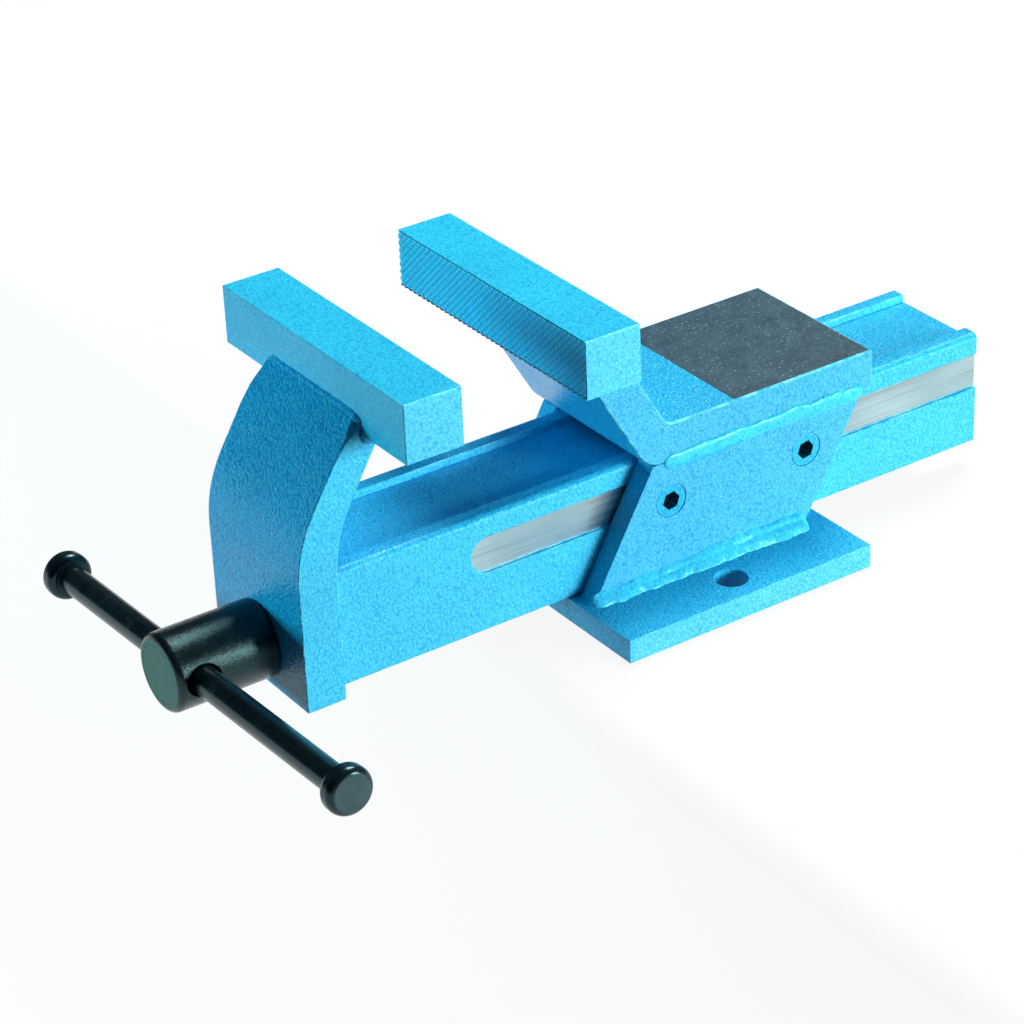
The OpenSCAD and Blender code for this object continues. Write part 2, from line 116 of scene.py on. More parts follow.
# Radii of rounded edges, and the least length of an edge that is rounded on a jaw and on the arm
PLATE_ROUNDING = 0.8 * MM
ARM_ROUNDING = 1.0 * MM
JAW_ROUNDING = 0.5 * MM
SLIDE_ROUNDING = 0.5 * MM
SCREW_ROUNDING = 0.2 * MM
HEAD_ROUNDING = 0.9 * MM
JAW_EDGE_LENGTH = 10 * MM
ARM_EDGE_LENGTH = 2 * MM

# Corners of the arm's top, cut away beside the weld
ARM_LEAN = math.radians(31)
CORNER_ACROSS = 3 * MM
CORNER_BACK = 5 * MM
CORNER_DOWN = 8 * MM

# The arm's front leans a little more over this height, up to the weld's ledge
LEAN_DOWN = 16 * MM
WELD_LEDGE = 1.0 * MM

# Share of the teeth's depth that is seen, as the enamel fills the pits
TOOTH_SHARE = 0.7

# Points this near to a jaw's edge lie on it
EDGE_REACH = 0.02 * MM

# Anvil's bare face starts this far along the vise
ANVIL_FACE_X = 15.5 * MM

# Milled tracks: least and largest depth of their faces in the slide bars, and least distance below the tops
TRACK_MARGIN = 0.05 * MM
TRACK_DEPTH = 2 * MM
TRACK_BELOW_TOP = 5 * MM

# Socket of a guide screw: largest wall in square metres, how far a wall may look sideways, depth of the floor
SOCKET_WALL = 60e-6
WALL_LOOKS = 0.1
SOCKET_FLOOR = (1 * MM, 10 * MM)

# Weld beads: length of a ring, size at the ends, coarse and fine noise per metre, and how far it swells them
BEAD_STEP = 0.45 * MM
BEAD_LEAST_RINGS = 8
BEAD_END = 0.12
TOE_NOISE = (90, 260)
LUMP_NOISE = (130, 300)
FINE_SHARE = 0.5
TOE_SWELL = 0.22
LUMP_SWELL = 0.09

# Line between two passes of a bead: its angle on the bead, how far it wanders, noise per metre and width
SEAM_ANGLE = 0.95
SEAM_WANDER = 0.45
SEAM_NOISE = 40
SEAM_DEPTH_NOISE = 45
SEAM_DEPTH_MEAN = 0.6
SEAM_WIDTH = 0.22

# Cross-sections of beads: steps round them, and their roots inside the metal as shares of the legs
FILLET_STEPS = 16
FILLET_ROOT = 0.06
CROWN_STEPS = 12
CROWN_ROOT = (-0.3, 0.9)

# Height of the saddle welds' crown, as a share of the node's
SADDLE_CROWN = 0.5

# Jaw weld: legs as shares of the ledge and the node's height, drops at its ends, beads under the jaw
JAW_WELD_LEGS = (1.2, 0.5)
SHORT_TAPER = 3 * MM
DROP_SEGMENTS = (28, 18)
DROP_RADII = (2.2 * MM, 3.8 * MM, 2.4 * MM)
DROP_BACK = 0.6 * MM
DROP_DOWN = 1.4 * MM
DROP_SWELL = 0.16
DROP_NOISE = 1.6
UNDER_BEAD = (-0.5 * MM, 9.0 * MM)
UNDER_BEAD_LEGS = (3.0 * MM, 4.5 * MM)

# Turns the welds' noise away from the axes, along which its cells would show
LUMP_TURN = Euler((0.7, 0.5, 0.9)).to_matrix()

# Thread of the spindle, from inside its collar, where it laps over the plain part, to the rear end
THREAD_LEAD = 5 * MM
THREAD_DEPTH = 2.5 * MM
THREAD_STEPS = 48
THREAD_CREST = 0.366
THREAD_CHAMFER = 2 * MM
THREAD_LAP = 0.5 * MM

# Enamel, from the pits of its skin to the tops of its cells; cells and wrinkles are counted per metre
ENAMEL_SHADES = (
    (0.0, (0.014, 0.440, 0.800)),
    (0.5, (0.034, 0.645, 0.960)),
    (1.0, (0.078, 0.800, 0.980)),
)
ENAMEL_SHINE = (0.48, 0.95, 0.86, 1.0)
ENAMEL_CELLS = 900
ENAMEL_WRINKLES = 1200
CELL_HEIGHT = -0.7
WRINKLE_HEIGHT = 0.6
RELIEF_MIDDLE = 0.05
RELIEF_REACH = 0.4
# Paler patches on rounded edges: painted highlights, partly thin paint
RIM_HIGHLIGHT_COLOUR = (0.22, 0.85, 0.97, 1.0)
# Teeth: valleys darkened by painted shade, tips paled by painted highlights
TOOTH_VALLEY_SHADE = ((0.10, (0.30, 0.52, 0.74)), (0.50, (1.00, 1.00, 1.00)))
TOOTH_TIP_HIGHLIGHT = (0.14, 0.94, 0.98, 1.0)

# Black oxide, from whole to rubbed, with nicks and the handle's worn ends
OXIDE_SHADES = (
    (0.35, (0.0035, 0.0070, 0.0080)),
    (0.62, (0.0070, 0.0170, 0.0200)),
    (0.80, (0.0250, 0.0480, 0.0560)),
)
OXIDE_SHINE = (0.45, 0.95, 1.0, 1.0)
NICK_COLOUR = (0.14, 0.24, 0.27, 1.0)
WORN_COLOUR = (0.046, 0.078, 0.094, 1.0)

# Turned face of the head: most that it looks along +X, waves, noise, and rings on the radius times
# RING_SCALE; the rings are grooves whose darkening is painted shade
FACE_LOOKS = -0.97
FACE_WAVES = 5200.0
FACE_NOISE = 2600.0
FACE_SHADES = ((0.25, (0.016, 0.108, 0.078)), (0.75, (0.036, 0.190, 0.145)))
RING_SCALE = 60.0
FACE_GROOVE_SHADE = (
    (0.46, (1.0, 1.0, 1.0)), (0.475, (0.6, 0.6, 0.6)), (0.49, (1.0, 1.0, 1.0)),
    (0.68, (1.0, 1.0, 1.0)), (0.70, (0.25, 0.25, 0.25)), (0.72, (1.0, 1.0, 1.0)),
)

# Range in which most of a noise lies
MOST = {"from_low": 0.3, "from_high": 0.7}


class Finish:
    """A material and short calls for building its node tree."""

    def __init__(self, name, **settings):
        self.material = bpy.data.materials.new(name)
        self.material.use_nodes = True
        self.tree = self.material.node_tree
        self.shader = self.tree.nodes["Principled BSDF"]
        for key, value in settings.items():
            self.shader.inputs[key.replace("_", " ")].default_value = value
        self.place = self.tree.nodes.new("ShaderNodeTexCoord").outputs["Object"]

    def node(self, kind, inputs, **settings):
        """New node with values or links on its inputs; returns its first output."""
        made = self.tree.nodes.new("ShaderNode" + kind)
        for key, value in settings.items():
            setattr(made, key, value)
        for key, value in inputs.items():
            if isinstance(value, bpy.types.NodeSocket):
                self.tree.links.new(value, made.inputs[key])
            else:
                made.inputs[key].default_value = value
        return made.outputs[0]

    def noise(self, scale, detail=2.0, stretch=(1, 1, 1), roughness=0.5, distortion=0.0):
        """Noise with that many lumps per metre."""
        place = self.node("Mapping", {"Vector": self.place, "Scale": stretch})
        return self.node("TexNoise", {
            "Vector": place, "Scale": scale, "Detail": detail,
            "Roughness": roughness, "Distortion": distortion,
        })

    def cells(self, scale, wobble, smoothness):
        """Soft round cells, that many per metre, pushed about by a noise."""
        push = self.tree.nodes.new("ShaderNodeTexNoise")
        push.inputs["Scale"].default_value = 0.6 * scale
        self.tree.links.new(self.place, push.inputs["Vector"])
        half = (0.5, 0.5, 0.5)
        centred = self.node("VectorMath", {0: push.outputs["Color"], 1: half}, operation="SUBTRACT")
        offset = self.node("VectorMath", {0: centred, "Scale": wobble / scale}, operation="SCALE")
        place = self.node("VectorMath", {0: self.place, 1: offset}, operation="ADD")
        return self.node(
            "TexVoronoi", {"Vector": place, "Scale": scale, "Smoothness": smoothness}, feature="SMOOTH_F1")

    def math(self, operation, first, second=0.5, clamp=False):
        """One step of arithmetic."""
        return self.node("Math", {0: first, 1: second}, operation=operation, use_clamp=clamp)

    def ramp(self, factor, stops):
        """Colour ramp through (position, colour) stops."""
        made = self.tree.nodes.new("ShaderNodeValToRGB")
        self.tree.links.new(factor, made.inputs["Fac"])
        elements = made.color_ramp.elements
        while len(elements) < len(stops):
            elements.new(0.5)
        for element, (position, colour) in zip(elements, stops):
            element.position = position
            element.color = (*colour, 1.0)
        return made.outputs["Color"]

    def span(self, factor, low, high, from_low=0.0, from_high=1.0):
        """The factor, moved from one range to another and kept inside it."""
        return self.node("MapRange", {
            "Value": factor, "From Min": from_low, "From Max": from_high, "To Min": low, "To Max": high})

    def mix(self, factor, first, second, blend="MIX"):
        """Two colours, blended by the factor."""
        made = self.tree.nodes.new("ShaderNodeMix")
        made.data_type = "RGBA"
        made.blend_type = blend
        for socket, value in zip((made.inputs[0], made.inputs[6], made.inputs[7]), (factor, first, second)):
            if isinstance(value, bpy.types.NodeSocket):
                self.tree.links.new(value, socket)
            else:
                socket.default_value = value
        return made.outputs[2]

    def facing(self, axis):
        """How far the surface looks along that axis of the object."""
        normal = self.tree.nodes.new("ShaderNodeTexCoord").outputs["Normal"]
        split = self.tree.nodes.new("ShaderNodeSeparateXYZ")
        self.tree.links.new(normal, split.inputs[0])
        return split.outputs[axis]

    def bump(self, height, distance):
        """Normals of a surface that is raised by the height times the distance."""
        return self.node("Bump", {"Height": height, "Distance": distance, "Strength": 1.0})

    def set(self, **sockets):
        """Links the outputs to the shader's sockets; returns the material."""
        for key, socket in sockets.items():
            self.tree.links.new(socket, self.shader.inputs[key.replace("_", " ")])
        return self.material


def hammered_enamel(name, relief, tone=(1.0, 1.0, 1.0), contrast=1.0, gloss=0.36, rough=(0.19, 0.29),
                    teeth=None):
    """Glossy blue enamel with small wrinkled cells, paler in patches on rounded edges, as painted highlights
    and thin paint.

    Teeth gives the places along X of the valleys and the tips of a toothed face; valleys get painted shade
    and tips a painted highlight.
    """
    f = Finish(name, Specular_IOR_Level=gloss, Specular_Tint=ENAMEL_SHINE)
    cells = f.cells(ENAMEL_CELLS, wobble=0.9, smoothness=0.6)
    wrinkles = f.noise(ENAMEL_WRINKLES, detail=1.5, distortion=0.6)
    raised = f.math("MULTIPLY", wrinkles, WRINKLE_HEIGHT)
    height = f.math("ADD", f.math("MULTIPLY", cells, CELL_HEIGHT), raised)
    reach = RELIEF_REACH / contrast
    relief_share = f.span(height, 0.0, 1.0, from_low=RELIEF_MIDDLE - reach, from_high=RELIEF_MIDDLE + reach)
    colour = f.ramp(relief_share, [
        (place, [c * t for c, t in zip(colour, tone)]) for place, colour in ENAMEL_SHADES])
    clouds = f.span(f.noise(24, detail=3), 0.94, 1.05, **MOST)
    shade = f.node("CombineColor", {"Red": clouds, "Green": clouds, "Blue": clouds})
    colour = f.mix(1.0, colour, shade, blend="MULTIPLY")
    # Paler patches on the rounded edges: painted highlights, partly thin paint
    rim = f.tree.nodes.new("ShaderNodeAttribute")
    rim.attribute_name = "rim"
    patches = f.span(f.noise(160, detail=3), 0.0, 0.6, from_low=0.4, from_high=0.65)
    rim_highlight = f.math("MULTIPLY", rim.outputs["Fac"], patches)
    colour = f.mix(rim_highlight, colour, RIM_HIGHLIGHT_COLOUR)
    # Painted shade in the teeth's valleys and painted highlights on their tips
    if teeth:
        across = f.node("SeparateXYZ", {0: f.place})
        depth = f.span(across, 0.0, 1.0, from_low=teeth[0], from_high=teeth[1])
        colour = f.mix(1.0, colour, f.ramp(depth, TOOTH_VALLEY_SHADE), blend="MULTIPLY")
        tip_highlight = f.span(depth, 0.0, 1.0, from_low=0.55, from_high=0.95)
        colour = f.mix(tip_highlight, colour, TOOTH_TIP_HIGHLIGHT)
    rough = f.span(f.noise(55, detail=3), *rough, **MOST)
    return f.set(Base_Color=colour, Roughness=rough, Normal=f.bump(height, relief))


def black_oxide(name, ior, rough_low, rough_high, nick_share, relief, face_axis=None, worn_ends=False):
    """Satin black oxide with a fine grain, faint blue-grey rubs and small bright nicks.

    Face_axis gives the point about which the end face, that looks along -X, shows turning marks.
    With worn_ends the faces that look along Y are rubbed paler.
    """
    f = Finish(name, IOR=ior, Specular_Tint=OXIDE_SHINE)
    grain = f.noise(900, detail=4, roughness=0.7)
    rubs = f.noise(90, detail=5, stretch=(1, 2, 1), roughness=0.65)
    nicks = f.noise(380, detail=3, stretch=(1, 0.5, 1), roughness=0.6, distortion=0.8)
    bright = f.span(nicks, 0.0, nick_share, from_low=0.68, from_high=0.80)
    colour = f.mix(bright, f.ramp(rubs, OXIDE_SHADES), NICK_COLOUR)
    rough = f.math("ADD", f.span(grain, -0.10, 0.10), f.span(rubs, rough_low, rough_high), clamp=True)
    height = f.math("ADD", grain, f.math("MULTIPLY", nicks, -0.3))
    if face_axis:
        end_face = f.math("LESS_THAN", f.facing("X"), FACE_LOOKS)
        spoke = f.node("VectorMath", {0: f.place, 1: face_axis}, operation="SUBTRACT")
        spoke = f.node("VectorMath", {0: spoke, 1: (0.0, 1.0, 1.0)}, operation="MULTIPLY")
        length = f.tree.nodes.new("ShaderNodeVectorMath")
        length.operation = "LENGTH"
        f.tree.links.new(spoke, length.inputs[0])
        radius = length.outputs["Value"]
        marks = f.math("SINE", f.math("MULTIPLY", radius, FACE_WAVES))
        fine = f.noise(1.0, detail=0)
        fine.node.noise_dimensions = "1D"
        f.tree.links.new(f.math("MULTIPLY", radius, FACE_NOISE), fine.node.inputs["W"])
        shade = f.math("ADD", f.math("MULTIPLY", marks, 0.10), fine)
        ring = f.ramp(f.math("MULTIPLY", radius, RING_SCALE), FACE_GROOVE_SHADE)
        turned = f.mix(1.0, f.ramp(shade, FACE_SHADES), ring, blend="MULTIPLY")
        colour = f.mix(end_face, colour, turned)
        rough = f.math("ADD", rough, f.math("MULTIPLY", end_face, 0.32), clamp=True)
        groove = f.math("MULTIPLY", f.node("SeparateColor", {"Color": ring}), end_face)
        height = f.math("ADD", height, groove)
    if worn_ends:
        end_face = f.span(f.math("ABSOLUTE", f.facing("Y")), 0.0, 1.0, from_low=0.93, from_high=0.99)
        worn = f.math("MULTIPLY", end_face, f.span(rubs, 0.55, 1.0, from_low=0.3, from_high=0.6))
        colour = f.mix(worn, colour, WORN_COLOUR)
        rough = f.math("ADD", rough, f.math("MULTIPLY", worn, 0.15), clamp=True)
    return f.set(Base_Color=colour, Roughness=rough, Normal=f.bump(height, relief))


def worn_steel():
    """Bare milled steel, rubbed lengthwise by the guide screws."""
    f = Finish("worn_steel", Metallic=1.0)
    lines = f.noise(1300, detail=4, stretch=(0.02, 1, 1), roughness=0.6)
    stains = f.noise(45, detail=4, stretch=(0.4, 1, 1))
    scratches = f.noise(2600, detail=1, stretch=(0.006, 1, 1))
    colour = f.ramp(stains, [(0.3, (0.34, 0.52, 0.56)), (0.7, (0.54, 0.73, 0.77))])
    dark = f.span(scratches, 0.0, 0.6, from_low=0.56, from_high=0.70)
    colour = f.mix(dark, colour, (0.20, 0.22, 0.23, 1.0))
    rough = f.math("ADD", f.span(lines, 0.22, 0.42), f.span(stains, -0.05, 0.08), clamp=True)
    return f.set(Base_Color=colour, Roughness=rough, Normal=f.bump(lines, 0.02 * MM))


def anvil_steel():
    """Ground anvil face, dark grey with fine pale specks and faint scratches."""
    f = Finish("anvil_steel", Specular_IOR_Level=0.25)
    mottle = f.noise(140, detail=6, roughness=0.7)
    specks = f.noise(800, detail=3, roughness=0.7)
    colour = f.ramp(mottle, [(0.32, (0.011, 0.044, 0.066)), (0.68, (0.036, 0.102, 0.140))])
    bright = f.span(specks, 0.0, 1.0, from_low=0.60, from_high=0.74)
    colour = f.mix(bright, colour, (0.38, 0.52, 0.58, 1.0))
    rough = f.span(mottle, 0.38, 0.58)
    return f.set(Base_Color=colour, Roughness=rough, Normal=f.bump(specks, 0.05 * MM))


def turned_steel(name, colour_low, colour_high, rough_low, rough_high):
    """Machined metal with faint turning marks."""
    f = Finish(name, Metallic=1.0)
    marks = f.noise(900, detail=2, stretch=(1, 0.15, 0.15))
    stains = f.noise(70, detail=4)
    colour = f.ramp(stains, [(0.3, colour_low), (0.7, colour_high)])
    rough = f.math("ADD", f.span(stains, rough_low, rough_high), f.span(marks, -0.05, 0.05), clamp=True)
    return f.set(Base_Color=colour, Roughness=rough, Normal=f.bump(marks, 0.015 * MM))


enamel = hammered_enamel("hammered_enamel", 0.30 * MM, (0.76, 0.76, 0.82), gloss=0.30)
# Paler, redder copy for faces that look sideways: painted light and painted sheen from the side lamp
lit_side_enamel = hammered_enamel("lit_side_enamel", 0.30 * MM, (1.7, 0.93, 0.93))
# Paler, redder copy for the sides of the cheeks and the saddle: painted light and painted sheen
lit_cheek_side_enamel = hammered_enamel("lit_cheek_side_enamel", 0.30 * MM, (2.0, 0.77, 0.79), gloss=0.30)
# Palest, reddest copy for the jaws' ends and the base plate's outer faces: painted light and painted sheen
lit_end_enamel = hammered_enamel("lit_end_enamel", 0.14 * MM, (3.0, 1.0, 0.97), gloss=0.22)
# Darker copy for the arm's front and its weld: painted shade
shaded_front_enamel = hammered_enamel("shaded_front_enamel", 0.34 * MM, (0.60, 0.84, 0.97), contrast=1.7, gloss=0.25)
smooth_enamel = hammered_enamel("smooth_enamel", 0.14 * MM, gloss=0.22)
weld_enamel = hammered_enamel("weld_enamel", 0.09 * MM, (1.4, 0.98, 0.96), gloss=0.5, rough=(0.22, 0.34))
# Near-black copy for the screws' sockets: painted shade in the recess
shaded_socket_enamel = hammered_enamel("shaded_socket_enamel", 0.10 * MM, (0.15, 0.15, 0.15))
head_low, head_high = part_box("spindle_head")
head_middle = (head_low + head_high) / 2
oxide = black_oxide("black_oxide", 1.5, 0.16, 0.28, 0.2, 0.03 * MM)
knob_oxide = black_oxide("knob_oxide", 1.5, 0.16, 0.28, 0.2, 0.03 * MM, worn_ends=True)
head_oxide = black_oxide("head_oxide", 1.52, 0.12, 0.22, 0.6, 0.18 * MM, face_axis=head_middle)
steel = worn_steel()
anvil_face = anvil_steel()
plain_steel = turned_steel("plain_steel", (0.45, 0.46, 0.47), (0.60, 0.61, 0.62), 0.25, 0.40)
bronze = turned_steel("bronze", (0.42, 0.26, 0.09), (0.60, 0.40, 0.16), 0.28, 0.45)


def cad_copy(node):
    """The node's solid as a bmesh, with its flat faces whole."""
    bm = bmesh.new()
    bm.from_mesh(nodes[node].data)
    bmesh.ops.remove_doubles(bm, verts=bm.verts, dist=SAME_POINT)
    bmesh.ops.dissolve_limit(bm, angle_limit=SAME_FACE, verts=bm.verts, edges=bm.edges)
    return bm


def round_edges(bm, radius, segments=3, chosen=lambda edge: True):
    """Rounds the sharp edges that are chosen and marks the new faces as rim."""
    rim = bm.faces.layers.float.get("rim") or bm.faces.layers.float.new("rim")
    sharp = [e for e in bm.edges if e.calc_face_angle(0.0) > SHARP_EDGE and chosen(e)]
    made = bmesh.ops.bevel(
        bm, geom=sharp, offset=radius, offset_type="OFFSET", segments=segments, profile=0.5,
        affect="EDGES", clamp_overlap=True)
    for face in made["faces"]:
        face[rim] = 1.0


def add_piece(name, bm, node, materials, smooth_angle=40, flat_faces=True):
    """Makes a piece that stands for the node and moves with its body."""
    mesh = bpy.data.meshes.new(name)
    bm.to_mesh(mesh)
    bm.free()
    for material in materials:
        mesh.materials.append(material)
    mesh.shade_smooth()
    mesh.set_sharp_from_angle(angle=math.radians(smooth_angle))
    piece = bpy.data.objects.new(name, mesh)
    scene.collection.objects.link(piece)
    if flat_faces:
        piece.modifiers.new("flat_faces", "WEIGHTED_NORMAL").keep_sharp = True
    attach(piece, nodes[node]["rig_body"])
    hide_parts(node)


def cut_plane(bm, place, outward, **settings):
    """Cuts the whole mesh along a plane."""
    geometry = bm.verts[:] + bm.edges[:] + bm.faces[:]
    bmesh.ops.bisect_plane(bm, geom=geometry, plane_co=place, plane_no=outward, **settings)


def fill_holes(bm):
    """Closes the mesh where a cut has left it open."""
    bmesh.ops.holes_fill(bm, edges=[e for e in bm.edges if e.is_boundary])


def paint_sides(bm, index):
    """Gives the faces that look left or right the material of that index, a paler copy of the enamel that
    paints light on them.
    """
    for face in bm.faces:
        if abs(face.normal.y) > LOOKS_SIDEWAYS:
            face.material_index = index


def painted_plates():
    """Cheeks, base plate and slide plate; the cheeks' sides and the base plate's outer edges get paler copies
    of the enamel, painted light.
    """
    for node in ("left_cheek", "right_cheek"):
        bm = cad_copy(node)
        paint_sides(bm, 1)
        round_edges(bm, PLATE_ROUNDING)
        add_piece("painted_" + node, bm, node, [enamel, lit_cheek_side_enamel])
    bm = cad_copy("base_plate")
    low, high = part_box("base_plate")
    # Outer faces get the paler end copy: painted light
    for face in bm.faces:
        middle = face.calc_center_median()
        inside = low.x + MM < middle.x < high.x - MM and low.y + MM < middle.y < high.y - MM
        face.material_index = 0 if inside else 1
    round_edges(bm, PLATE_ROUNDING)
    add_piece("painted_base_plate", bm, "base_plate", [enamel, lit_end_enamel])
    bm = cad_copy("slide_plate")
    round_edges(bm, SLIDE_ROUNDING)
    add_piece("painted_slide_plate", bm, "slide_plate", [enamel])


def anvil():
    """Saddle with a bare face on the anvil, enamel elsewhere, and a paler copy on its sides that paints light
    there.
    """
    bm = cad_copy("anvil_saddle")
    round_edges(bm, PLATE_ROUNDING)
    cut_plane(bm, (ANVIL_FACE_X, 0, 0), (1, 0, 0))
    for face in bm.faces:
        bare = face.normal.z > LOOKS_UP and face.calc_center_median().x > ANVIL_FACE_X
        face.material_index = 1 if bare else 0
    paint_sides(bm, 2)
    add_piece("painted_anvil_saddle", bm, "anvil_saddle", [enamel, anvil_face, lit_cheek_side_enamel])


def jaws():
    """Blocks with rounded plain edges; the teeth run out to straight edges at the top and the given ends."""
    for node, facing, straight_ends in (("fixed_jaw", -1, (-1,)), ("moving_jaw_block", 1, (-1, 1))):
        bm = cad_copy(node)
        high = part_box(node)[1]
        tips = facing * max(facing * v.co.x for v in bm.verts)
        plain = facing * min(facing * v.co.x for v in bm.verts)
        middle = (tips + plain) / 2
        cut = [v.co.x for v in bm.verts if facing * (v.co.x - middle) > 0]
        valleys = facing * min(facing * x for x in cut)
        valleys = tips + TOOTH_SHARE * (valleys - tips)
        # Lighter copy for the toothed face, painted light, with painted shade in the valleys and highlights
        # on the tips
        teeth_shade_and_highlight_enamel = hammered_enamel(
            "toothed_" + node, 0.10 * MM, (0.6, 1.20, 1.02), gloss=0.08, teeth=(valleys, tips))
        for vert in bm.verts:
            if facing * (vert.co.x - middle) > 0:
                at_end = any(end * vert.co.y > high.y - EDGE_REACH for end in straight_ends)
                share = 0.0 if at_end or vert.co.z > high.z - EDGE_REACH else TOOTH_SHARE
                vert.co.x = tips + share * (vert.co.x - tips)
        bm.normal_update()
        toothed = {f for f in bm.faces if facing * (f.calc_center_median().x - valleys) > 0
                   and facing * f.normal.x > TOOTH_LOOKS}
        # Ends get the paler end copy: painted light
        paint_sides(bm, 2)
        for face in toothed:
            face.material_index = 1
        round_edges(bm, JAW_ROUNDING, chosen=lambda edge: edge.calc_length() > JAW_EDGE_LENGTH)
        add_piece("painted_" + node, bm, node, [smooth_enamel, teeth_shade_and_highlight_enamel, lit_end_enamel], smooth_angle=25)


def front_arm():
    """Arm with rounded edges, but for the top edge that runs into the weld."""
    bm = cad_copy("front_arm")
    ledge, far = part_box("moving_jaw_weld")
    seam = far.x - WELD_LEDGE
    low_x = ledge.x - LEAN_DOWN * math.tan(ARM_LEAN)
    cuts = [(Vector((seam, 0, ledge.z)), Vector((-LEAN_DOWN, 0, seam - low_x)))]
    for side in (-far.y, far.y):
        inward = -math.copysign(1.0, side)
        across = Vector((seam, side + inward * CORNER_ACROSS, ledge.z))
        back = Vector((seam + CORNER_BACK, side, ledge.z))
        down = Vector((seam - CORNER_DOWN * math.tan(ARM_LEAN), side, ledge.z - CORNER_DOWN))
        outward = (back - across).cross(down - across)
        cuts.append((across, outward * math.copysign(1.0, outward.z)))
    for place, outward in cuts:
        cut_plane(bm, place, outward, clear_outer=True)
        fill_holes(bm)
    bmesh.ops.recalc_face_normals(bm, faces=bm.faces)
    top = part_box("front_arm")[1].z - HAIR

    def chosen(edge):
        return edge.calc_length() > ARM_EDGE_LENGTH and min(v.co.z for v in edge.verts) < top

    bm.normal_update()
    # The front gets the darker front copy (painted shade), the sides the paler side copy (painted light)
    for face in bm.faces:
        face.material_index = 1 if abs(face.normal.y) > ARM_SIDE_LOOKS else 0
    round_edges(bm, ARM_ROUNDING, chosen=chosen)
    add_piece("painted_front_arm", bm, "front_arm", [shaded_front_enamel, lit_side_enamel])


def head():
    """Head with a small rounding where it meets the arm."""
    bm = cad_copy("spindle_head")
    rear = head_high.x - HAIR
    radius = (head_high.z - head_low.z) / 2 - MM

    def chosen(edge):
        spokes = [math.hypot(v.co.y - head_middle.y, v.co.z - head_middle.z) for v in edge.verts]
        return min(v.co.x for v in edge.verts) > rear and min(spokes) > radius

    round_edges(bm, HEAD_ROUNDING, chosen=chosen)
    add_piece("turned_head", bm, "spindle_head", [head_oxide])


def slide_bars():
    """Bars with bare metal in their milled tracks."""
    for node in ("left_slide_bar", "right_slide_bar"):
        bm = cad_copy(node)
        low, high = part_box(node)
        outer = max(abs(low.y), abs(high.y))
        # Sides get the paler side copy: painted light
        paint_sides(bm, 2)
        for face in bm.faces:
            middle = face.calc_center_median()
            sunk = TRACK_MARGIN < outer - abs(middle.y) < TRACK_DEPTH
            if sunk and middle.z < high.z - TRACK_BELOW_TOP and middle.x < high.x - TRACK_MARGIN:
                face.material_index = 1
        round_edges(bm, SLIDE_ROUNDING)
        add_piece("painted_" + node, bm, node, [enamel, steel, lit_side_enamel])


def guide_screws():
    """Screws painted over with the cheeks; their sockets are darkened, painted shade."""
    bm = cad_copy("guide_screws")
    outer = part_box("guide_screws")[1].y
    for face in bm.faces:
        depth = outer - abs(face.calc_center_median().y)
        walls = len(face.verts) == 4 and abs(face.normal.y) < WALL_LOOKS and face.calc_area() < SOCKET_WALL
        floor = len(face.verts) == 6 and SOCKET_FLOOR[0] < depth < SOCKET_FLOOR[1]
        # Walls and floor of the sockets get the near-black copy: painted shade
        face.material_index = 1 if walls or floor else 0
    round_edges(bm, SCREW_ROUNDING, segments=2)
    add_piece("painted_guide_screws", bm, "guide_screws", [enamel, shaded_socket_enamel])


def bead(bm, start, end, leg_a, leg_b, curve, seed, sizes=(1.0, 1.0), taper=5 * MM, lumps=1.0, seam=0.0):
    """Adds a lumpy bead from start to end; the curve draws its cross-section in the two leg directions.

    Seam is the depth of the wandering line between two passes.
    """
    length = (end - start).length
    rings = max(BEAD_LEAST_RINGS, round(length / BEAD_STEP))
    loops = []
    for i in range(rings + 1):
        at = length * i / rings
        near_end = min(at, length - at) / taper
        full = BEAD_END + (1 - BEAD_END) * math.sqrt(max(0.0, 1 - (1 - min(near_end, 1.0)) ** 2))
        grown = full * (sizes[0] + (sizes[1] - sizes[0]) * i / rings)
        middle = start.lerp(end, i / rings)
        seam_at = SEAM_ANGLE + SEAM_WANDER * noise.noise(Vector((at * SEAM_NOISE, seed, 7.0)))
        seam_depth = seam * (SEAM_DEPTH_MEAN + noise.noise(Vector((at * SEAM_DEPTH_NOISE, seed, 11.0))))
        toes = []
        for row in (seed, seed + 2.0):
            toe = noise.noise(Vector((at * TOE_NOISE[0], row, 0.0)))
            toes.append(toe + FINE_SHARE * noise.noise(Vector((at * TOE_NOISE[1], row, 3.0))))
        loop = []
        for a, b in curve:
            place = middle + leg_a * a + leg_b * b
            toe = a * abs(a) * toes[0] + b * abs(b) * toes[1]
            place = LUMP_TURN @ place
            lump = noise.noise(place * LUMP_NOISE[0] + Vector((seed, seed, seed)))
            lump += FINE_SHARE * noise.noise(place * LUMP_NOISE[1] + Vector((seed, seed, seed)))
            swell = 1 - seam_depth * math.exp(-((math.atan2(b, a) - seam_at) / SEAM_WIDTH) ** 2)
            swell += lumps * (TOE_SWELL * toe + LUMP_SWELL * lump)
            if a <= 0 and b <= 0:
                swell = 1
            loop.append(bm.verts.new(middle + (leg_a * a + leg_b * b) * grown * swell))
        loops.append(loop)
    for first, second in zip(loops, loops[1:]):
        for k in range(len(curve)):
            n = (k + 1) % len(curve)
            bm.faces.new((first[k], first[n], second[n], second[k]))
    bm.faces.new(loops[0])
    bm.faces.new(reversed(loops[-1]))


